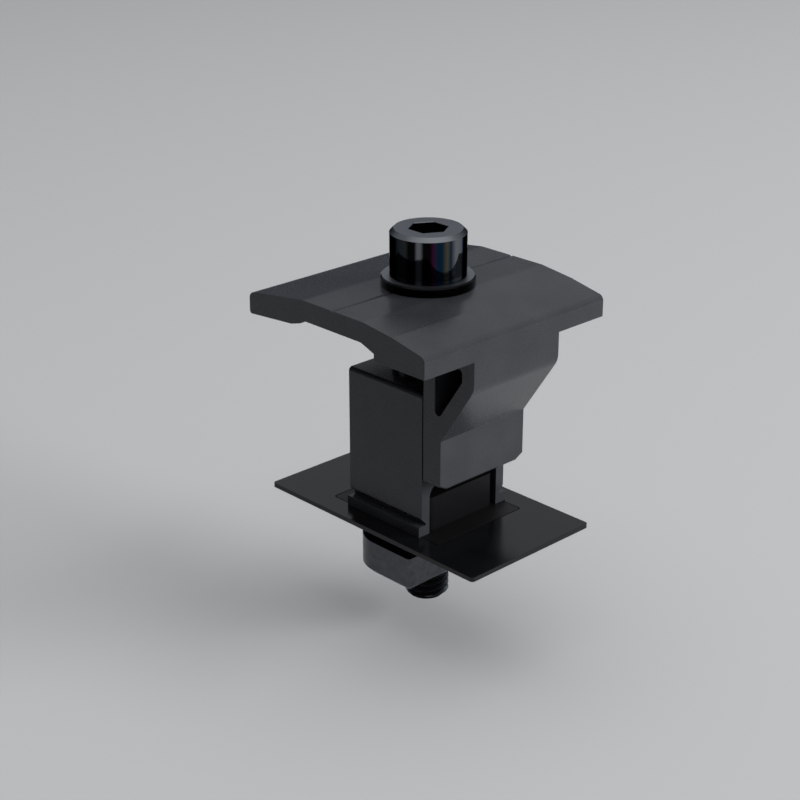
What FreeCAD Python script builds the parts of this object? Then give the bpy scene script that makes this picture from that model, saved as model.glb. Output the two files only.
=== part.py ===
import FreeCAD, Part
import Sketcher
import os
from math import cos, pi, sin

# Height-adjustable end clamp with a quarter-turn slot nut, in millimetres.
# Origin: on the screw's axis, at the underside of the base plate.
# X points from the cap's pressing tip to its leg, Y runs along the cap, Z up.
# The cap is drawn with its tip 35 mm above the base plate, the middle of its travel.

SIZES = [
    # Base plate, the thin sheet that the bracket stands on
    ("plate_length", 50.0),
    ("plate_width", 28.6),
    ("plate_thick", 0.8),
    ("plate_corner", 0.6),
    ("window_gap", 0.15),
    # Nut holder, moulded, whose tongue keeps the clamp square in its slot
    ("holder_length", 26.0),
    ("holder_width", 20.0),
    ("holder_block_length", 17.0),
    ("holder_block_height", 6.2),
    ("holder_block_round", 1.4),
    ("holder_fit", 0.15),
    ("holder_bore", 8.8),
    ("tongue_width", 16.3),
    ("tongue_depth", 2.8),
    ("tongue_bevel", 0.6),
    # Lower bracket, an extrusion along X with two rooms
    ("bracket_length", 17.8),
    ("bracket_width", 20.0),
    ("bracket_height", 25.8),
    ("bracket_wall", 1.86),
    ("bracket_round", 0.7),
    ("roof_thick", 2.2),
    ("web_thick", 1.9),
    ("lower_room_height", 8.8),
    ("lower_room_round", 2.2),
    ("upper_room_round", 1.2),
    ("foot_reach", 0.65),
    ("foot_height", 1.85),
    ("groove_depth", 1.0),
    ("groove_height", 1.35),
    ("groove_flat", 0.3),
    # Clamp cap, an extrusion along Y whose leg is milled narrower
    ("frame_height", 35.0),
    ("cap_length", 42.0),
    ("cap_rise", 5.7),
    ("cap_thick", 3.5),
    ("tip_reach", 21.4),
    ("tip_edge", 3.8),
    ("tip_top_round", 1.3),
    ("tip_toe_round", 0.5),
    ("rear_flat", 7.7),
    ("front_flat", 6.6),
    ("front_break_reach", 13.3),
    ("front_break_drop", 0.8),
    ("front_reach", 20.5),
    ("front_drop", 2.25),
    ("front_round", 1.1),
    ("crown_round", 3.0),
    ("mark_offset", 0.5),
    ("mark_width", 0.7),
    ("mark_depth", 0.4),
    ("lip_depth", 5.85),
    ("foot_ramp_end", 10.7),
    ("foot_ramp_rise", 0.9),
    ("step_mid_reach", 8.4),
    ("step_mid_rise", 1.55),
    ("step_reach", 7.2),
    ("gusset_reach", 6.2),
    ("gusset_drop", 1.1),
    ("leg_gap", 0.3),
    ("leg_thick", 4.0),
    ("leg_width", 20.0),
    ("leg_length", 30.9),
    ("leg_foot_round", 0.35),
    ("leg_corner_wide", 1.6),
    ("leg_corner_high", 0.8),
    ("bend_depth", 10.8),
    ("bend_round", 3.6),
    ("slant_depth", 21.8),
    ("slant_round", 0.4),
    ("leg_wall", 2.6),
    ("leg_room_depth", 7.9),
    ("leg_room_round", 0.8),
    ("screw_hole", 9.0),
    # Socket head cap screw, washer and spring
    ("screw_diameter", 8.0),
    ("screw_length", 60.0),
    ("screw_tip", 1.0),
    ("head_diameter", 13.0),
    ("head_height", 8.0),
    ("head_bevel_wide", 0.7),
    ("head_bevel_high", 0.7),
    ("socket_width", 6.0),
    ("socket_depth", 4.0),
    ("washer_diameter", 16.0),
    ("washer_thick", 1.6),
    ("washer_bore", 8.4),
    ("washer_bevel", 0.25),
    ("spring_wire", 1.2),
    ("spring_bore", 9.8),
    ("spring_pitch", 2.3),
    ("spring_grind", 0.3),
    # Slot nut, which hooks under the two lips of the slot
    ("nut_depth", 3.3),
    ("nut_length", 24.0),
    ("nut_width", 15.8),
    ("nut_thick", 6.0),
    ("nut_lead_round", 7.0),
    ("nut_bevel", 0.6),
    ("nut_fit", 0.06),
]


def size(name):
    """The expression that reads one size from the sheet."""
    return "Sizes." + name


def half(name):
    return f"Sizes.{name} / 2"


TOLERANCE = 1e-4
SPRING_RUNS_PER_TURN = 12

# Heights that several pieces share
BRACKET_TOP = "(Sizes.plate_thick + Sizes.bracket_height)"
LOWER_ROOM_TOP = "(Sizes.plate_thick + Sizes.lower_room_height)"
TIP_BOTTOM = "(Sizes.plate_thick + Sizes.frame_height)"
CAP_TOP = "(Sizes.plate_thick + Sizes.frame_height + Sizes.cap_rise)"
CAP_UNDERSIDE = f"({CAP_TOP} - Sizes.cap_thick)"
LEG_BOTTOM = f"({CAP_TOP} - Sizes.leg_length)"
HEAD_SEAT = f"({CAP_TOP} + Sizes.washer_thick)"
LEG_BACK = "(Sizes.bracket_length / 2 + Sizes.leg_gap)"
LEG_FRONT = f"({LEG_BACK} + Sizes.leg_thick)"
ROOM_HALF = "(Sizes.bracket_width / 2 - Sizes.bracket_wall)"

doc = FreeCAD.newDocument("end_clamp")
sheet = doc.addObject("Spreadsheet::Sheet", "Sizes")
for row, (alias, value) in enumerate(SIZES, start=1):
    sheet.set(f"A{row}", alias)
    sheet.set(f"B{row}", str(value))
    sheet.setAlias(f"B{row}", alias)
doc.recompute()


def value_of(expression):
    """The number that an expression on the sheet gives."""
    return float(sheet.evalExpression(expression))


def new_body(name):
    body = doc.addObject("PartDesign::Body", name)
    body.Label = name
    return body


def new_sketch(body, name, plane):
    """An empty sketch on one of the body's own origin planes."""
    sketch = body.newObject("Sketcher::SketchObject", name)
    planes = [feature for feature in body.Origin.OriginFeatures if feature.Role == plane]
    sketch.AttachmentSupport = (planes[0], "")
    sketch.MapMode = "FlatFace"
    return sketch


def add_polygon(sketch, points):
    """Closed outline whose corners are held by expressions. Returns its first line's number."""
    corners = [FreeCAD.Vector(value_of(across), value_of(along), 0) for across, along in points]
    first = sketch.GeometryCount
    count = len(corners)
    for index, corner in enumerate(corners):
        sketch.addGeometry(Part.LineSegment(corner, corners[(index + 1) % count]), False)
    for index in range(count):
        following = first + (index + 1) % count
        sketch.addConstraint(Sketcher.Constraint("Coincident", first + index, 2, following, 1))
    for index, (across, along) in enumerate(points):
        hold_point(sketch, first + index, 1, across, along)
    return first


def add_circle(sketch, across, along, diameter):
    centre = FreeCAD.Vector(value_of(across), value_of(along), 0)
    number = sketch.addGeometry(Part.Circle(centre, FreeCAD.Vector(0, 0, 1), value_of(diameter) / 2), False)
    hold_point(sketch, number, 3, across, along)
    constraint = sketch.addConstraint(Sketcher.Constraint("Diameter", number, value_of(diameter)))
    sketch.setExpression(f"Constraints[{constraint}]", diameter)


def hold_point(sketch, geometry, point, across, along):
    for kind, expression in (("DistanceX", across), ("DistanceY", along)):
        constraint = sketch.addConstraint(
            Sketcher.Constraint(kind, -1, 1, geometry, point, value_of(expression)))
        sketch.setExpression(f"Constraints[{constraint}]", expression)


def pad(body, sketch, name, length, symmetric=False, reverse=False):
    feature = body.newObject("PartDesign::Pad", name)
    feature.Profile = sketch
    feature.SideType = "Symmetric" if symmetric else "One side"
    feature.Reversed = reverse
    feature.setExpression("Length", length)
    doc.recompute()
    return feature


def cut_through(body, sketch, name):
    """Pocket to both sides through the whole body, checked by its volume."""
    before = body.Shape.Volume
    feature = body.newObject("PartDesign::Pocket", name)
    feature.Profile = sketch
    feature.Type = "ThroughAll"
    feature.SideType = "Symmetric"
    doc.recompute()
    if not body.Shape.Volume < before:
        raise RuntimeError(f"{name} cuts nothing")
    return feature


def round_corners(body, sketch, corners, name, radius):
    """Rounds the edges that start at the given corners of a sketch and run along its normal."""
    normal = sketch.Placement.Rotation.multVec(FreeCAD.Vector(0, 0, 1))
    points = [sketch.Placement.multVec(sketch.getPoint(corner, 1)) for corner in corners]

    def is_wanted(edge):
        if not isinstance(edge.Curve, Part.Line) or abs(edge.Curve.Direction.dot(normal)) < 1 - TOLERANCE:
            return False
        start = edge.Vertexes[0].Point
        return any((start - point).cross(normal).Length < TOLERANCE for point in points)

    return dress_edges(body, is_wanted, name, radius)


def dress_edges(body, is_wanted, name, radius, kind="PartDesign::Fillet"):
    """Fillet or chamfer on each edge of the body's tip that the test accepts."""
    base = body.Tip
    names = [f"Edge{number}" for number, edge in enumerate(base.Shape.Edges, start=1) if is_wanted(edge)]
    if not names:
        raise RuntimeError(f"{name} finds no edge")
    feature = body.newObject(kind, name)
    feature.Base = (base, names)
    feature.setExpression("Radius" if kind.endswith("Fillet") else "Size", radius)
    doc.recompute()
    return feature


def edge_at_height(height):
    """Test for edges that lie whole in one horizontal plane."""
    def is_wanted(edge):
        box = edge.BoundBox
        return abs(box.ZMin - height) < TOLERANCE and abs(box.ZMax - height) < TOLERANCE
    return is_wanted


def revolve(body, sketch, name):
    feature = body.newObject("PartDesign::Revolution", name)
    feature.Profile = sketch
    feature.ReferenceAxis = (sketch, ["V_Axis"])
    feature.Angle = 360
    doc.recompute()
    return feature


def drill(body, name, diameter):
    """Round hole on the screw's axis through the whole body."""
    sketch = new_sketch(body, name + "_sketch", "XY_Plane")
    add_circle(sketch, "0", "0", diameter)
    return cut_through(body, sketch, name)


def rectangle(half_across, half_along):
    return [
        (f"-({half_across})", f"-({half_along})"),
        (half_across, f"-({half_along})"),
        (half_across, half_along),
        (f"-({half_across})", half_along),
    ]


def build_base_plate():
    """Thin plate with a window that the nut holder fills."""
    body = new_body("base_plate")
    sketch = new_sketch(body, "plate_outline", "XY_Plane")
    outline = add_polygon(sketch, rectangle(half("plate_length"), half("plate_width")))
    window = add_polygon(sketch, rectangle(
        "Sizes.holder_length / 2 + Sizes.window_gap",
        "Sizes.holder_width / 2 + Sizes.window_gap"))
    pad(body, sketch, "plate_sheet", size("plate_thick"))
    corners = list(range(outline, outline + 4)) + list(range(window, window + 4))
    round_corners(body, sketch, corners, "plate_corners", size("plate_corner"))
    return body


def build_nut_holder():
    """Moulded holder: flange in the plate's window, block in the bracket, tongue in the slot below."""
    body = new_body("nut_holder")
    flange = new_sketch(body, "flange_outline", "XY_Plane")
    first = add_polygon(flange, rectangle(half("holder_length"), half("holder_width")))
    pad(body, flange, "flange", size("plate_thick"))
    round_corners(body, flange, range(first, first + 4), "flange_corners", size("plate_corner"))

    block = new_sketch(body, "block_outline", "XY_Plane")
    first = add_polygon(block, rectangle(half("holder_block_length"), f"{ROOM_HALF} - Sizes.holder_fit"))
    pad(body, block, "block", "Sizes.plate_thick + Sizes.holder_block_height")
    round_corners(body, block, range(first, first + 4), "block_corners", size("holder_block_round"))

    tongue = new_sketch(body, "tongue_outline", "XY_Plane")
    first = add_polygon(tongue, rectangle(half("holder_block_length"), half("tongue_width")))
    pad(body, tongue, "tongue", size("tongue_depth"), reverse=True)
    round_corners(body, tongue, range(first, first + 4), "tongue_corners", size("holder_block_round"))
    bottom = edge_at_height(-value_of(size("tongue_depth")))
    dress_edges(body, bottom, "tongue_lead_in", size("tongue_bevel"), "PartDesign::Chamfer")
    drill(body, "holder_bore", size("holder_bore"))
    return body


def build_lower_bracket():
    """Two-room extrusion along X whose feet hold down the plate's window edges."""
    body = new_body("lower_bracket")
    sketch = new_sketch(body, "bracket_profile", "YZ_Plane")
    wall = half("bracket_width")
    foot = "(Sizes.bracket_width / 2 + Sizes.foot_reach)"
    foot_top = "(Sizes.plate_thick + Sizes.foot_height)"
    groove = "(Sizes.bracket_width / 2 - Sizes.groove_depth)"
    right_side = [
        (ROOM_HALF, size("plate_thick")),
        (foot, size("plate_thick")),
        (foot, foot_top),
        (groove, foot_top),
        (groove, f"{foot_top} + Sizes.groove_flat"),
        (wall, f"{foot_top} + Sizes.groove_height"),
        (wall, BRACKET_TOP),
    ]
    left_side = [(f"-({across})", height) for across, height in reversed(right_side)]
    room_roof = [(f"-({ROOM_HALF})", LOWER_ROOM_TOP), (ROOM_HALF, LOWER_ROOM_TOP)]
    outline = add_polygon(sketch, right_side + left_side + room_roof)
    left_shoulder = outline + len(right_side)
    room_corner = left_shoulder + len(left_side)
    pad(body, sketch, "bracket_extrusion", size("bracket_length"), symmetric=True)

    room = new_sketch(body, "upper_room_profile", "YZ_Plane")
    room_floor = f"{LOWER_ROOM_TOP} + Sizes.web_thick"
    room_top = f"{BRACKET_TOP} - Sizes.roof_thick"
    first = add_polygon(room, [
        (f"-({ROOM_HALF})", room_floor),
        (ROOM_HALF, room_floor),
        (ROOM_HALF, room_top),
        (f"-({ROOM_HALF})", room_top),
    ])
    cut_through(body, room, "upper_room")
    round_corners(body, sketch, [left_shoulder - 1, left_shoulder], "bracket_shoulders", size("bracket_round"))
    round_corners(body, sketch, [room_corner, room_corner + 1], "lower_room_corners", size("lower_room_round"))
    round_corners(body, room, range(first, first + 4), "upper_room_corners", size("upper_room_round"))
    drill(body, "bracket_screw_holes", size("screw_hole"))
    return body


def build_clamp_cap():
    """Cap with a pressing tip at its rear and a leg that slides on the bracket."""
    body = new_body("clamp_cap")
    sketch = new_sketch(body, "cap_profile", "XZ_Plane")
    front = size("front_reach")
    corners = {
        "toe": ("-Sizes.tip_reach", TIP_BOTTOM),
        "tip": ("-Sizes.tip_reach", f"{TIP_BOTTOM} + Sizes.tip_edge"),
        "rear_break": ("-Sizes.rear_flat", CAP_TOP),
        "mark_rear": ("-Sizes.mark_offset - Sizes.mark_width / 2", CAP_TOP),
        "mark_foot": ("-Sizes.mark_offset", f"{CAP_TOP} - Sizes.mark_depth"),
        "mark_front": ("-Sizes.mark_offset + Sizes.mark_width / 2", CAP_TOP),
        "front_break": (size("front_flat"), CAP_TOP),
        "slope_break": (size("front_break_reach"), f"{CAP_TOP} - Sizes.front_break_drop"),
        "front_edge": (front, f"{CAP_TOP} - Sizes.front_drop"),
        "bend": (front, f"{CAP_TOP} - Sizes.bend_depth"),
        "hollow": (LEG_FRONT, f"{CAP_TOP} - Sizes.slant_depth"),
        "leg_front": (LEG_FRONT, LEG_BOTTOM),
        "leg_back": (LEG_BACK, LEG_BOTTOM),
        "gusset_low": (LEG_BACK, f"{CAP_UNDERSIDE} - Sizes.gusset_drop"),
        "gusset_high": (size("gusset_reach"), CAP_UNDERSIDE),
        "step_high": ("-Sizes.step_reach", CAP_UNDERSIDE),
        "step_low": ("-Sizes.step_mid_reach", f"{TIP_BOTTOM} + Sizes.step_mid_rise"),
        "ramp_end": ("-Sizes.foot_ramp_end", f"{TIP_BOTTOM} + Sizes.foot_ramp_rise"),
    }
    first = add_polygon(sketch, list(corners.values()))
    number = {name: first + index for index, name in enumerate(corners)}
    pad(body, sketch, "cap_extrusion", size("cap_length"), symmetric=True)
    cut_leg_room(body)
    cut_leg_sides(body)
    drill(body, "cap_screw_hole", size("screw_hole"))
    crown = [number[name] for name in ("rear_break", "front_break", "slope_break")]
    round_corners(body, sketch, [number["toe"]], "toe_rounding", size("tip_toe_round"))
    round_corners(body, sketch, [number["tip"]], "tip_rounding", size("tip_top_round"))
    round_corners(body, sketch, [number["front_edge"]], "front_rounding", size("front_round"))
    round_corners(body, sketch, [number["bend"]], "bend_rounding", size("bend_round"))
    round_corners(body, sketch, [number["hollow"]], "hollow_rounding", size("slant_round"))
    round_corners(body, sketch, crown, "crown_rounding", size("crown_round"))
    round_leg_foot(body)
    return body


def round_leg_foot(body):
    """Rounding along the leg's lower front edge and up its two cut corners."""
    front = value_of(LEG_FRONT)
    highest = value_of(f"{LEG_BOTTOM} + Sizes.leg_corner_high") + TOLERANCE

    def is_foot_edge(edge):
        return all(abs(vertex.X - front) < TOLERANCE and vertex.Z < highest for vertex in edge.Vertexes)

    dress_edges(body, is_foot_edge, "leg_foot_rounding", size("leg_foot_round"))


def cut_leg_room(body):
    """Hollow in the thick part of the leg, one wall away from its faces."""
    slant_run = f"({size('front_reach')} - {LEG_FRONT})"
    slant_rise = "(Sizes.slant_depth - Sizes.bend_depth)"
    slope = f"({slant_run} / {slant_rise})"
    wall_across = f"(Sizes.leg_wall * sqrt(1 + {slope} * {slope}))"
    slant_foot = f"({LEG_FRONT} - {wall_across})"
    back = f"({LEG_BACK} + Sizes.leg_wall)"
    front = "(Sizes.front_reach - Sizes.leg_wall)"
    slant_bottom = f"({CAP_TOP} - Sizes.slant_depth)"
    top = f"({CAP_TOP} - Sizes.leg_room_depth)"
    room = new_sketch(body, "leg_room_profile", "XZ_Plane")
    first = add_polygon(room, [
        (back, f"{slant_bottom} + ({back} - {slant_foot}) / {slope}"),
        (front, f"{slant_bottom} + ({front} - {slant_foot}) / {slope}"),
        (front, top),
        (back, top),
    ])
    cut_through(body, room, "leg_room")
    round_corners(body, room, range(first, first + 4), "leg_room_corners", size("leg_room_round"))


def cut_leg_sides(body):
    """Mills the leg narrower than the cap and takes off its two lower corners."""
    sketch = new_sketch(body, "leg_sides_profile", "YZ_Plane")
    lip = f"{CAP_TOP} - Sizes.lip_depth"
    outside = "Sizes.cap_length"
    below = f"{LEG_BOTTOM} - Sizes.leg_thick"
    one_side = [
        (half("leg_width"), lip),
        (outside, lip),
        (outside, below),
        ("Sizes.leg_width / 2 - Sizes.leg_corner_wide", below),
        ("Sizes.leg_width / 2 - Sizes.leg_corner_wide", LEG_BOTTOM),
        (half("leg_width"), f"{LEG_BOTTOM} + Sizes.leg_corner_high"),
    ]
    add_polygon(sketch, one_side)
    add_polygon(sketch, [(f"-({across})", height) for across, height in one_side])
    cut_through(body, sketch, "leg_sides")


def build_clamp_screw():
    """Socket head cap screw, turned about its axis. Its thread is left plain."""
    body = new_body("clamp_screw")
    sketch = new_sketch(body, "screw_profile", "XZ_Plane")
    shank = half("screw_diameter")
    head = half("head_diameter")
    add_polygon(sketch, [
        ("0", "-Sizes.screw_length"),
        (f"{shank} - Sizes.screw_tip", "-Sizes.screw_length"),
        (shank, "-Sizes.screw_length + Sizes.screw_tip"),
        (shank, "0"),
        (head, "0"),
        (head, "Sizes.head_height - Sizes.head_bevel_high"),
        (f"{head} - Sizes.head_bevel_wide", size("head_height")),
        ("0", size("head_height")),
    ])
    revolve(body, sketch, "screw_turning")
    socket = new_sketch(body, "socket_outline", "XY_Plane")
    corner_radius = "(Sizes.socket_width / sqrt(3))"
    add_polygon(socket, [
        (f"{corner_radius} * cos({angle} * 1deg)", f"{corner_radius} * sin({angle} * 1deg)")
        for angle in range(0, 360, 60)
    ])
    socket.setExpression("AttachmentOffset.Base.z", size("head_height"))
    pocket = body.newObject("PartDesign::Pocket", "hex_socket")
    pocket.Profile = socket
    pocket.setExpression("Length", size("socket_depth"))
    before = body.Shape.Volume
    doc.recompute()
    if not body.Shape.Volume < before:
        raise RuntimeError("the socket cuts nothing")
    body.setExpression("Placement.Base.z", HEAD_SEAT)
    return body


def build_washer():
    """Plain washer between the screw's head and the cap."""
    body = new_body("washer")
    sketch = new_sketch(body, "washer_outline", "XY_Plane")
    add_circle(sketch, "0", "0", size("washer_diameter"))
    add_circle(sketch, "0", "0", size("washer_bore"))
    pad(body, sketch, "washer_disc", size("washer_thick"))
    rim = value_of(half("washer_diameter"))
    top = value_of(size("washer_thick"))

    def is_top_rim(edge):
        return edge_at_height(top)(edge) and abs(edge.BoundBox.XMax - rim) < TOLERANCE

    dress_edges(body, is_top_rim, "washer_bevel", size("washer_bevel"), "PartDesign::Chamfer")
    body.setExpression("Placement.Base.z", CAP_TOP)
    return body


def coil_points(radius, pitch, lowest, highest):
    """Corners of the coil's path, which climbs in short straight runs."""
    runs = round((highest - lowest) / pitch * SPRING_RUNS_PER_TURN)
    points = []
    for index in range(runs + 1):
        climbed = (highest - lowest) * index / runs
        turned = 2 * pi * climbed / pitch
        points.append(FreeCAD.Vector(radius * cos(turned), radius * sin(turned), lowest + climbed))
    return points


def build_spring():
    """Compression spring between the bracket's roof and the cap, with its ends ground flat."""
    height = f"({CAP_UNDERSIDE} - {BRACKET_TOP})"
    mean_radius = "(Sizes.spring_bore + Sizes.spring_wire) / 2"
    grind = value_of(size("spring_grind"))
    points = coil_points(
        value_of(mean_radius), value_of(size("spring_pitch")), -grind, value_of(height) + grind)
    path = doc.addObject("Part::Feature", "spring_path")
    path.Shape = Part.makePolygon(points)
    wire = doc.addObject("Part::Circle", "spring_wire_section")
    wire.setExpression("Radius", half("spring_wire"))
    wire.Placement = FreeCAD.Placement(
        points[0], FreeCAD.Rotation(FreeCAD.Vector(0, 0, 1), points[1] - points[0]))
    sweep = doc.addObject("Part::Sweep", "spring_sweep")
    sweep.Sections = [wire]
    sweep.Spine = (path, [])
    sweep.Solid = True
    sweep.Transition = "Right corner"
    grinding = doc.addObject("Part::Cylinder", "spring_grinding")
    grinding.setExpression("Radius", "Sizes.spring_bore / 2 + Sizes.spring_wire * 2")
    grinding.setExpression("Height", height)
    spring = doc.addObject("Part::Common", "spring")
    spring.Base = sweep
    spring.Tool = grinding
    spring.Label = "spring"
    spring.setExpression("Placement.Base.z", BRACKET_TOP)
    doc.recompute()
    return spring


def build_slot_nut():
    """Nut that drops through the slot and hooks under its lips after a quarter turn."""
    body = new_body("slot_nut")
    sketch = new_sketch(body, "nut_outline", "XY_Plane")
    first = add_polygon(sketch, rectangle(half("nut_width"), half("nut_length")))
    pad(body, sketch, "nut_block", size("nut_thick"), reverse=True)
    round_corners(body, sketch, [first, first + 2], "nut_lead_corners", size("nut_lead_round"))
    round_corners(body, sketch, [first + 1, first + 3], "nut_stop_corners", size("nut_bevel"))
    bottom = edge_at_height(-value_of(size("nut_thick")))
    dress_edges(body, bottom, "nut_bottom_bevel", size("nut_bevel"), "PartDesign::Chamfer")
    drill(body, "nut_bore", "Sizes.screw_diameter + 2 * Sizes.nut_fit")
    body.setExpression("Placement.Base.z", "-Sizes.nut_depth")
    return body


def check_document():
    for item in doc.Objects:
        faults = [state for state in item.State if state in ("Invalid", "Error")]
        if faults:
            raise RuntimeError(f"{item.Name}: {faults}")


def write_piece(piece):
    shape = piece.Shape
    if shape.isNull() or not shape.isValid() or not shape.Solids:
        raise RuntimeError(f"{piece.Label} has no valid solid")
    shape.exportStep(f"parts/{piece.Label}.step")
    print(piece.Label, len(shape.Solids), round(shape.Volume, 1), shape.BoundBox)


PIECES = [
    build_base_plate(),
    build_nut_holder(),
    build_lower_bracket(),
    build_clamp_cap(),
    build_clamp_screw(),
    build_washer(),
    build_spring(),
    build_slot_nut(),
]
doc.recompute()
check_document()
os.makedirs("parts", exist_ok=True)
for piece in PIECES:
    write_piece(piece)
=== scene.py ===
from math import ceil, cos, pi, radians, sin

import bmesh
import bpy
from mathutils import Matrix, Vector


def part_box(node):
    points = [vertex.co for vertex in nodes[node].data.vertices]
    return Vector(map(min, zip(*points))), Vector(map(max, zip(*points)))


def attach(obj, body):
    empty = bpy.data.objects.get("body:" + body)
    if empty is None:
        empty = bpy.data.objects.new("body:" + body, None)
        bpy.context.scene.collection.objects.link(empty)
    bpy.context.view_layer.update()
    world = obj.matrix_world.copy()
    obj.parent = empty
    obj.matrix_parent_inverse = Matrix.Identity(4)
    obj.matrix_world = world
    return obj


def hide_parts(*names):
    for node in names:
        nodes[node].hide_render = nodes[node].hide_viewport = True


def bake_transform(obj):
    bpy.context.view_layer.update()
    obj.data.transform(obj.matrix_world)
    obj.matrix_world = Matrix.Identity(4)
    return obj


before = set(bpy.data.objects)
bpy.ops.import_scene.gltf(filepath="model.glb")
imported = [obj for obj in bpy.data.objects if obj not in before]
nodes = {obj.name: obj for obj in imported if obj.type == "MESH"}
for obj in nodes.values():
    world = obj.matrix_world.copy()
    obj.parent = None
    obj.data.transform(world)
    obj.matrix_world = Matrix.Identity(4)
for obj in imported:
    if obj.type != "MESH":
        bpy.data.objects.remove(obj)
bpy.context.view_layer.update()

# Height-adjustable end clamp with a quarter-turn slot nut, dressed for the render.
# Everything is in metres, in the frame of the part's source: the screw's axis is Z, the base
# plate's underside is at z = 0, and X points from the cap's pressing tip to its leg.

MM = 0.001

# Screw: a socket head cap screw M8 x 60, with 28 mm of thread
SCREW_RADIUS = 4.0 * MM
HEAD_RADIUS = 6.5 * MM
HEAD_HEIGHT = 8.0 * MM
HEAD_BEVEL_WIDE = 0.7 * MM
HEAD_BEVEL_HIGH = 0.7 * MM
HEAD_FOOT_ROUND = 0.2 * MM
SHANK_FILLET = 0.4 * MM
SOCKET_APOTHEM = 3.0 * MM
SOCKET_DEPTH = 4.0 * MM
SOCKET_LEAD = 0.08 * MM
SOCKET_CONE_RADIUS = 2.85 * MM
SOCKET_CONE_TIP = 0.1 * MM
SOCKET_CONE_DEPTH = 1.2 * MM
THREAD_LENGTH = 28.0 * MM
THREAD_PITCH = 1.25 * MM
THREAD_DEPTH = 0.6134 * THREAD_PITCH
THREAD_RUN_OUT = 1.5 * THREAD_PITCH
# How far up one pitch each corner of the thread's outline lies, and how deep, as shares
THREAD_PROFILE = [(0.0, 1.0), (0.25, 1.0), (0.4, 0.52), (0.5625, 0.0), (0.6875, 0.0), (0.85, 0.48)]
TIP_CHAMFER = 1.0 * MM
LATHE_POINTS = 96
WELD_DISTANCE = 0.002 * MM

# Spring: 1.2 mm wire with closed ends that are ground flat. Its turns are few enough that it
# isn't yet closed solid at the cap's lowest place
WIRE_RADIUS = 0.6 * MM
COIL_RADIUS = 5.5 * MM
COIL_TURNS = 4.6
CLOSED_TURNS = 0.9
WIRE_POINTS = 20
COIL_STEPS_PER_TURN = 48

# The photograph's camera: its place, and where it looks, were worked out from the picture's
# three vanishing points
CAMERA_PLACE = (192.6 * MM, -191.0 * MM, 133.5 * MM)
CAMERA_HEADING = radians(136.23)
CAMERA_DIP = radians(22.66)
CAMERA_LENS = 77.04
CAMERA_SENSOR = 36.0


def linear(colour):
    """An sRGB hex colour as the linear numbers that shaders take."""
    channels = [int(colour[i:i + 2], 16) / 255 for i in (1, 3, 5)]
    return [c / 12.92 if c <= 0.04045 else ((c + 0.055) / 1.055) ** 2.4 for c in channels] + [1.0]


# Meshes

def ring(radius, height):
    """Points of a circle round the screw's axis."""
    return [
        Vector((radius * cos(2 * pi * i / LATHE_POINTS), radius * sin(2 * pi * i / LATHE_POINTS), height))
        for i in range(LATHE_POINTS)
    ]


def hexagon_ring(apothem, height):
    """Points of a hexagon round the screw's axis, with corners along X, as many as a circle has."""
    points = []
    for i in range(LATHE_POINTS):
        angle = 2 * pi * i / LATHE_POINTS
        from_middle = (angle % (pi / 3)) - pi / 6
        radius = apothem / cos(from_middle)
        points.append(Vector((radius * cos(angle), radius * sin(angle), height)))
    return points


def quarter_round(radius, height, size, start, steps=6):
    """Rings round a quarter circle of that size whose centre is at radius and height."""
    rings = []
    for step in range(steps + 1):
        angle = start + step / steps * pi / 2
        rings.append(ring(radius + size * cos(angle), height + size * sin(angle)))
    return rings


def skin(name, rings, climb=0, sharp_angle=32):
    """A closed mesh over rings of equally many points, capped at both ends. Each ring closes on
    itself, or on the ring that lies the given number of rings further up."""
    count = len(rings[0])
    made = bmesh.new()
    rows = [[made.verts.new(point) for point in points] for points in rings]
    for row, (lower, upper) in enumerate(zip(rows, rows[1:])):
        lower_end = rows[min(row + climb, len(rows) - 1)][0]
        upper_end = rows[min(row + climb + 1, len(rows) - 1)][0]
        for i in range(count - 1):
            made.faces.new((lower[i], lower[i + 1], upper[i + 1], upper[i]))
        if lower_end is not upper_end:
            made.faces.new((lower[-1], lower_end, upper_end, upper[-1]))
    made.faces.new(rows[0][::-1])
    made.faces.new(rows[-1])
    bmesh.ops.remove_doubles(made, verts=made.verts, dist=WELD_DISTANCE)
    bmesh.ops.recalc_face_normals(made, faces=made.faces)
    mesh = bpy.data.meshes.new(name)
    made.to_mesh(mesh)
    made.free()
    mesh.shade_smooth()
    mesh.set_sharp_from_angle(angle=radians(sharp_angle))
    piece = bpy.data.objects.new(name, mesh)
    bpy.context.scene.collection.objects.link(piece)
    return piece


def make_thread(bottom, top):
    """Right-hand thread that climbs by one pitch a turn, cut off level at both ends."""
    turns = ceil((top - bottom) / THREAD_PITCH) + 1
    rings = []
    for turn in range(-1, turns):
        for share, depth in THREAD_PROFILE:
            points = []
            for i in range(LATHE_POINTS):
                angle = 2 * pi * i / LATHE_POINTS
                free = bottom + (turn + share + i / LATHE_POINTS) * THREAD_PITCH
                height = min(max(free, bottom), top)
                run_out = min(max((top - height) / THREAD_RUN_OUT, 0.0), 1.0)
                radius = SCREW_RADIUS - depth * THREAD_DEPTH * run_out
                radius = min(radius, SCREW_RADIUS - TIP_CHAMFER + (height - bottom))
                points.append(Vector((radius * cos(angle), radius * sin(angle), height)))
            rings.append(points)
    return skin("screw_thread", rings, climb=len(THREAD_PROFILE))


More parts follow.
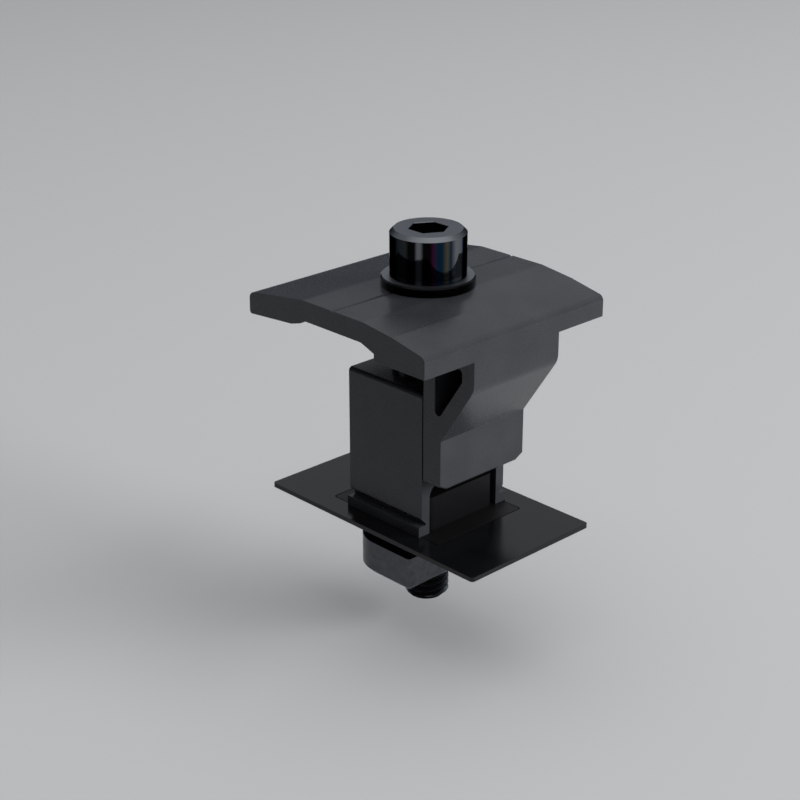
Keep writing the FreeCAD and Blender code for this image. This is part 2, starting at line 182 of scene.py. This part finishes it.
def make_screw_head(shank_bottom, seat, top):
    """Shank and head, turned in one with a hexagon socket."""
    rings = [
        ring(SCREW_RADIUS, shank_bottom),
        ring(SCREW_RADIUS, seat - SHANK_FILLET),
        ring(SCREW_RADIUS + 0.375 * SHANK_FILLET, seat - 0.25 * SHANK_FILLET),
        ring(SCREW_RADIUS + SHANK_FILLET, seat),
    ]
    rings += quarter_round(HEAD_RADIUS - HEAD_FOOT_ROUND, seat + HEAD_FOOT_ROUND, HEAD_FOOT_ROUND, -pi / 2)
    rings += [
        ring(HEAD_RADIUS, top - HEAD_BEVEL_HIGH),
        ring(HEAD_RADIUS - HEAD_BEVEL_WIDE, top),
        hexagon_ring(SOCKET_APOTHEM + SOCKET_LEAD, top),
        hexagon_ring(SOCKET_APOTHEM, top - SOCKET_LEAD),
        hexagon_ring(SOCKET_APOTHEM, top - SOCKET_DEPTH),
        ring(SOCKET_CONE_RADIUS, top - SOCKET_DEPTH),
        ring(SOCKET_CONE_TIP, top - SOCKET_DEPTH - SOCKET_CONE_DEPTH),
    ]
    return skin("screw_head_and_shank", rings)


def make_screw():
    low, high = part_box("clamp_screw")
    thread_top = low.z + THREAD_LENGTH
    head = make_screw_head(thread_top, high.z - HEAD_HEIGHT, high.z)
    thread = make_thread(low.z, thread_top)
    for piece in (head, thread):
        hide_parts("clamp_screw")
        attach(piece, "screw")
    return head, thread


def make_spring():
    """Compression spring whose end turns lie closed and are ground flat."""
    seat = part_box("lower_bracket")[1].z
    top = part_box("spring")[1].z
    height = top - seat
    closed_rise = 2 * WIRE_RADIUS * CLOSED_TURNS
    open_turns = COIL_TURNS - 2 * CLOSED_TURNS
    open_rise = height - 2 * closed_rise - WIRE_RADIUS
    rings = []
    steps = round(COIL_TURNS * COIL_STEPS_PER_TURN)
    for step in range(steps + 1):
        turn = COIL_TURNS * step / steps
        if turn < CLOSED_TURNS:
            rise = 2 * WIRE_RADIUS * turn
        elif turn < CLOSED_TURNS + open_turns:
            rise = closed_rise + open_rise * (turn - CLOSED_TURNS) / open_turns
        else:
            rise = closed_rise + open_rise + 2 * WIRE_RADIUS * (turn - CLOSED_TURNS - open_turns)
        centre_height = seat + WIRE_RADIUS / 2 + rise
        angle = 2 * pi * turn
        points = []
        for i in range(WIRE_POINTS):
            round_wire = 2 * pi * i / WIRE_POINTS
            radius = COIL_RADIUS + WIRE_RADIUS * cos(round_wire)
            level = centre_height + WIRE_RADIUS * sin(round_wire)
            level = min(max(level, seat), top)
            points.append(Vector((radius * cos(angle), radius * sin(angle), level)))
        rings.append(points)
    piece = skin("spring_coil", rings, sharp_angle=50)
    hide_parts("spring")
    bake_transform(piece)
    return piece


# Materials

def set_inputs(tree, node, inputs):
    """Links each input that is given a socket, and sets the others."""
    for name, value in inputs.items():
        if isinstance(value, bpy.types.NodeSocket):
            tree.links.new(value, node.inputs[name])
        else:
            node.inputs[name].default_value = value


def add_node(tree, kind, inputs=None, stops=(), **settings):
    """Adds one shader node with its settings, its (place, hex colour) stops and its inputs."""
    node = tree.nodes.new("ShaderNode" + kind)
    for name, value in settings.items():
        setattr(node, name, value)
    if stops:
        elements = node.color_ramp.elements
        ends = [elements[0], *(elements.new(place) for place, colour in stops[1:-1]), elements[-1]]
        for element, (place, colour) in zip(ends, stops):
            element.position = place
            element.color = linear(colour)
    set_inputs(tree, node, inputs or {})
    return node


def start_material(name, values):
    """A material with its shader, whose sockets hold the values that are the same all over."""
    material = bpy.data.materials.new(name)
    material.use_nodes = True
    tree = material.node_tree
    shader = tree.nodes["Principled BSDF"]
    set_inputs(tree, shader, values)
    return material, tree, shader


def mottle(tree, size, low=0.0, high=1.0, detail=2.0):
    """Wanders between low and high over lumps of that size, in millimetres along X, Y and Z."""
    place = add_node(tree, "TexCoord")
    scaled = add_node(tree, "Mapping", {
        "Vector": place.outputs["Object"], "Scale": [1 / (side * MM) for side in size]})
    lumps = add_node(tree, "TexNoise", {"Vector": scaled.outputs["Vector"], "Scale": 1.0, "Detail": detail})
    return add_node(tree, "MapRange", {
        "Value": lumps.outputs["Fac"], "From Min": 0.3, "From Max": 0.7,
        "To Min": low, "To Max": high}).outputs["Result"]


def anodised_aluminium(name, along, dark, light, roughness):
    """Black anodised aluminium, matt etched first: a dark satin skin with faint lines along the way
    that it was extruded or rolled, a fine etched grain, and edges just soft enough to catch light."""
    material, tree, shader = start_material(name, {"Metallic": 0.0, "IOR": 1.38})
    # Die lines are about 0.05 mm apart, drawn at 0.3 mm so that they show
    line_size = [0.3, 0.3, 0.3]
    line_size[along] = 40.0
    lines = mottle(tree, line_size, detail=3.0)
    # Etched grain is about 0.03 mm across, drawn at 0.18 mm
    grain = mottle(tree, (0.18, 0.18, 0.18), detail=1.0)
    dye = add_node(tree, "ValToRGB", {"Fac": mottle(tree, (6.0, 6.0, 6.0))}, [(0.0, dark), (1.0, light)])
    rounded = add_node(tree, "Bevel", {"Radius": 0.12 * MM}, samples=6)
    etched = add_node(tree, "Bump", {
        "Strength": 0.15, "Distance": 0.02 * MM, "Height": grain, "Normal": rounded.outputs["Normal"]})
    drawn = add_node(tree, "Bump", {
        "Strength": 0.2, "Distance": 0.02 * MM, "Height": lines, "Normal": etched.outputs["Normal"]})
    gloss = add_node(tree, "MapRange", {
        "Value": grain, "To Min": roughness - 0.04, "To Max": roughness + 0.04})
    set_inputs(tree, shader, {
        "Base Color": dye.outputs["Color"],
        "Roughness": gloss.outputs["Result"],
        "Normal": drawn.outputs["Normal"],
    })
    return material


# Painted reflections round the screw's head, by the angle from X in degrees: upright dark, grey, plum,
# blue, straw and pale streaks painted into the colour in place of reflections, which turn with the screw.
# The angles were picked to match the photograph
DARK_REFLECTION, DUSK, GREY, PALE_REFLECTION = "#0A0A0B", "#2A2D30", "#66686E", "#6F7276"
PLUM, BLUE, STRAW = "#381430", "#0D2538", "#4E4A3C"
PAINTED_REFLECTION_BANDS = [
    (-180, DUSK), (-157, DARK_REFLECTION), (-152, GREY), (-146, DARK_REFLECTION), (-122, DARK_REFLECTION), (-108, DUSK), (-80, DUSK),
    (-75, DARK_REFLECTION), (-65, DARK_REFLECTION), (-61, GREY), (-57, GREY), (-52, DARK_REFLECTION), (-42, DARK_REFLECTION), (-37, PLUM),
    (-31, BLUE), (-24, BLUE), (-16, STRAW), (-10, BLUE), (-1, PALE_REFLECTION), (11, PALE_REFLECTION), (18, BLUE),
    (26, DARK_REFLECTION), (70, DARK_REFLECTION), (76, GREY), (83, DARK_REFLECTION), (112, DUSK), (124, PLUM), (131, BLUE),
    (140, STRAW), (147, PALE_REFLECTION), (156, DUSK), (180, DUSK),
]


def upward(tree, least, most):
    """1 on faces that look up, and 0 on steeper ones, between two heights of their normal."""
    facing = add_node(tree, "NewGeometry")
    parts = add_node(tree, "SeparateXYZ", {"Vector": facing.outputs["Normal"]})
    return add_node(tree, "MapRange", {
        "Value": parts.outputs["Z"], "From Min": least, "From Max": most}).outputs["Result"]


def blackened_screw_steel():
    """Turned and polished steel with a black tempered film. Round the head it is almost a mirror,
    with upright bands of painted reflection in grey, plum, blue and straw. Faces that look up are satin and
    painted lighter, as painted light from above, with the chamfer a shade darker than the flat top; the
    socket, shank and thread keep a dull film."""
    material, tree, shader = start_material("blackened_polished_steel", {
        "Metallic": 1.0, "Specular Tint": linear("#5A5B5D")})
    place = add_node(tree, "TexCoord")
    parts = add_node(tree, "SeparateXYZ", {"Vector": place.outputs["Object"]})
    across = add_node(tree, "CombineXYZ", {"X": parts.outputs["X"], "Y": parts.outputs["Y"]})
    angle = add_node(tree, "Math", {0: parts.outputs["Y"], 1: parts.outputs["X"]}, operation="ARCTAN2")
    turn = add_node(tree, "MapRange", {"Value": angle.outputs["Value"], "From Min": -pi, "From Max": pi})
    # The side's colour here is painted reflection: bands by the angle round the axis, which turn with the
    # screw.
    painted_reflections = add_node(tree, "ValToRGB", {"Fac": turn.outputs["Result"]},
                     [((degrees + 180) / 360, colour) for degrees, colour in PAINTED_REFLECTION_BANDS])
    reach = add_node(tree, "VectorMath", {0: across.outputs["Vector"]}, operation="LENGTH")
    # Beyond 5 mm from the axis the steel is polished, and its colour is the painted reflection bands.
    polished_with_painted_reflections = add_node(tree, "Math", {0: reach.outputs["Value"], 1: 5.0 * MM}, operation="GREATER_THAN")
    side = add_node(tree, "Mix", {
        "Factor": polished_with_painted_reflections.outputs["Value"], "A": linear("#131314"), "B": painted_reflections.outputs["Color"],
    }, data_type="RGBA")
    # Faces that look up are satin and painted lighter than the side, as painted light from above; the
    # chamfer ring gets a painted shade a little darker than the flat top.
    satin_top_and_painted_light = upward(tree, 0.25, 0.4)
    top_colour_painted_light = add_node(tree, "Mix", {
        "Factor": upward(tree, 0.8, 0.95), "A": linear("#6D7074"), "B": linear("#ACB0B6"),
    }, data_type="RGBA")
    colour = add_node(tree, "Mix", {
        "Factor": satin_top_and_painted_light, "A": side.outputs["Result"], "B": top_colour_painted_light.outputs["Result"]}, data_type="RGBA")
    # Turning marks are about 0.1 mm apart, drawn at 0.2 mm
    marks = mottle(tree, (30.0, 30.0, 0.2))
    side_gloss = add_node(tree, "MapRange", {
        "Value": polished_with_painted_reflections.outputs["Value"], "To Min": 0.42, "To Max": 0.06})
    gloss = add_node(tree, "MapRange", {
        "Value": satin_top_and_painted_light, "To Min": side_gloss.outputs["Result"], "To Max": 0.34})
    turned = add_node(tree, "Bump", {"Strength": 0.05, "Distance": 0.01 * MM, "Height": marks})
    set_inputs(tree, shader, {
        "Base Color": colour.outputs["Result"],
        "Roughness": gloss.outputs["Result"],
        "Normal": turned.outputs["Normal"],
    })
    return material


def blackened_washer_steel():
    """Stamped steel with a black film; its flat top is satin and painted lighter than its sides, as painted
    light from above.
    """
    material, tree, shader = start_material("blackened_stamped_steel", {"Metallic": 1.0})
    # The flat top is satin and painted lighter than the dark sides, as painted light from above.
    satin_top_and_painted_light = upward(tree, 0.85, 0.95)
    colour = add_node(tree, "Mix", {
        "Factor": satin_top_and_painted_light, "A": linear("#111213"), "B": linear("#85898E")}, data_type="RGBA")
    # Stamping grain is about 0.05 mm across, drawn at 0.2 mm
    grain = mottle(tree, (0.2, 0.2, 0.2), -0.04, 0.04)
    gloss = add_node(tree, "MapRange", {"Value": satin_top_and_painted_light, "To Min": 0.16, "To Max": 0.4})
    uneven = add_node(tree, "Math", {0: gloss.outputs["Result"], 1: grain}, operation="ADD")
    set_inputs(tree, shader, {"Base Color": colour.outputs["Result"], "Roughness": uneven.outputs["Value"]})
    return material


def phosphated_spring_wire():
    """Drawn spring wire with a black phosphate coat: dull, and slightly grey on its crystals."""
    material, tree, shader = start_material("phosphated_spring_wire", {"Metallic": 1.0})
    # Phosphate crystals are about 0.01 mm across, drawn at 0.4 mm
    coat = mottle(tree, (0.4, 0.4, 0.4), detail=3.0)
    colour = add_node(tree, "ValToRGB", {"Fac": coat}, [(0.0, "#3A3B3D"), (1.0, "#55565A")])
    gloss = add_node(tree, "MapRange", {"Value": coat, "To Min": 0.38, "To Max": 0.55})
    set_inputs(tree, shader, {"Base Color": colour.outputs["Color"], "Roughness": gloss.outputs["Result"]})
    return material


def moulded_nylon():
    """Injection moulded nylon, black: a soft sheen over a fine eroded texture."""
    material, tree, shader = start_material("moulded_black_nylon", {
        "Metallic": 0.0, "IOR": 1.53, "Specular IOR Level": 0.3})
    # Spark eroded texture is about 0.05 mm across, drawn at 0.25 mm
    texture = mottle(tree, (0.25, 0.25, 0.25))
    colour = add_node(tree, "ValToRGB", {"Fac": texture}, [(0.0, "#09090A"), (1.0, "#0E0E0F")])
    gloss = add_node(tree, "MapRange", {"Value": texture, "To Min": 0.42, "To Max": 0.56})
    eroded = add_node(tree, "Bump", {"Strength": 0.3, "Distance": 0.03 * MM, "Height": texture})
    set_inputs(tree, shader, {
        "Base Color": colour.outputs["Color"],
        "Roughness": gloss.outputs["Result"],
        "Normal": eroded.outputs["Normal"],
    })
    return material


def black_zinc_plated_steel():
    """Forged steel, zinc plated and passivated black: dark grey with a soft crystalline bloom."""
    material, tree, shader = start_material("black_zinc_plated_steel", {"Metallic": 1.0})
    # Zinc bloom is about 1.2 mm across
    bloom = mottle(tree, (1.2, 1.2, 1.2), detail=4.0)
    colour = add_node(tree, "ValToRGB", {"Fac": bloom}, [(0.0, "#4A4C4F"), (1.0, "#5C5E62")])
    gloss = add_node(tree, "MapRange", {"Value": bloom, "To Min": 0.28, "To Max": 0.42})
    forged = add_node(tree, "Bump", {"Strength": 0.2, "Distance": 0.05 * MM, "Height": bloom})
    set_inputs(tree, shader, {
        "Base Color": colour.outputs["Color"],
        "Roughness": gloss.outputs["Result"],
        "Normal": forged.outputs["Normal"],
    })
    return material


def finish_with(material, *pieces):
    for piece in pieces:
        piece.data.materials.clear()
        piece.data.materials.append(material)


# Studio

def make_camera():
    """The photograph's camera, set up from the values above."""
    camera = bpy.data.objects.new("camera", bpy.data.cameras.new("camera"))
    camera.data.sensor_width = CAMERA_SENSOR
    camera.data.lens = CAMERA_LENS
    camera.data.clip_start = 10 * MM
    looking = Vector((
        cos(CAMERA_HEADING) * cos(CAMERA_DIP), sin(CAMERA_HEADING) * cos(CAMERA_DIP), -sin(CAMERA_DIP)))
    camera.location = CAMERA_PLACE
    camera.rotation_euler = looking.to_track_quat("-Z", "Y").to_euler()
    bpy.context.scene.collection.objects.link(camera)
    bpy.context.scene.camera = camera


def make_floor(level):
    """A wide sheet of pale card at that height."""
    mesh = bpy.data.meshes.new("studio_floor")
    reach = 6.0
    corners = [(-reach, -reach), (reach, -reach), (reach, reach), (-reach, reach)]
    mesh.from_pydata([(x, y, level) for x, y in corners], [], [(0, 1, 2, 3)])
    floor = bpy.data.objects.new("studio_floor", mesh)
    bpy.context.scene.collection.objects.link(floor)
    card = start_material("matt_studio_card", {
        "Base Color": linear("#B6B7B8"), "Roughness": 0.9, "Specular IOR Level": 0.1})[0]
    finish_with(card, floor)


def make_soft_lamp(name, direction, distance, width, height, level, mirrored=True):
    """A softbox in that direction from the clamp. At level 1, a matt face that looks straight at it
    shows its colour as it is written. One that isn't mirrored leaves no bright streak on gloss."""
    target = Vector((0, 0, 25 * MM))
    lamp = bpy.data.lights.new(name, "AREA")
    lamp.shape = "RECTANGLE"
    lamp.size, lamp.size_y = width, height
    lamp.energy = level * pi * pi * distance ** 2
    piece = bpy.data.objects.new(name, lamp)
    toward = Vector(direction).normalized()
    piece.location = target + toward * distance
    piece.rotation_euler = (-toward).to_track_quat("-Z", "Y").to_euler()
    piece.visible_camera = False
    piece.visible_glossy = mirrored
    bpy.context.scene.collection.objects.link(piece)


def make_world():
    """A dim studio, darker toward -Y and near the horizon than overhead."""
    world = bpy.data.worlds.new("studio")
    world.use_nodes = True
    tree = world.node_tree
    tree.nodes.clear()
    place = add_node(tree, "TexCoord")
    parts = add_node(tree, "SeparateXYZ", {"Vector": place.outputs["Generated"]})
    colour = add_node(tree, "ValToRGB", {"Fac": parts.outputs["Z"]}, [
        (0.0, "#3A3E44"), (0.17, "#454B56"), (0.3, "#84888F"),
        (0.42, "#B0B3B7"), (0.6, "#C4C6C8"), (1.0, "#D2D3D4"),
    ])
    side = add_node(tree, "MapRange", {
        "Value": parts.outputs["Y"], "From Min": -1.0, "From Max": -0.1, "To Min": 0.1, "To Max": 1.0,
    }, interpolation_type="SMOOTHSTEP")
    background = add_node(tree, "Background", {
        "Color": colour.outputs["Color"], "Strength": side.outputs["Result"]})
    output = add_node(tree, "OutputWorld")
    set_inputs(tree, output, {"Surface": background.outputs["Background"]})
    bpy.context.scene.world = world


make_camera()
make_floor(-22.5 * MM)
make_world()
make_soft_lamp("key_softbox", (0.82, 0.5, 0.25), distance=2.0, width=1.65, height=1.0, level=1.8,
               mirrored=False)
make_soft_lamp("overhead_softbox", (0.1, 0.0, 1.0), distance=0.8, width=1.0, height=1.0, level=0.36)

screw_head, screw_thread = make_screw()
spring = make_spring()

cap_finish = anodised_aluminium("black_anodised_cap_extrusion", 1, "#282A2D", "#2E3033", 0.24)
bracket_finish = anodised_aluminium("black_anodised_bracket_extrusion", 0, "#282A2D", "#2E3033", 0.24)
sheet_finish = anodised_aluminium("black_anodised_rolled_sheet", 0, "#0A0B0C", "#0E0F11", 0.18)
finish_with(cap_finish, nodes["clamp_cap"])
finish_with(bracket_finish, nodes["lower_bracket"])
finish_with(sheet_finish, nodes["base_plate"])
finish_with(blackened_screw_steel(), screw_head, screw_thread)
finish_with(blackened_washer_steel(), nodes["washer"])
finish_with(phosphated_spring_wire(), spring)
finish_with(moulded_nylon(), nodes["nut_holder"])
finish_with(black_zinc_plated_steel(), nodes["slot_nut"])

bpy.context.scene.view_settings.view_transform = "Standard"
bpy.context.view_layer.update()
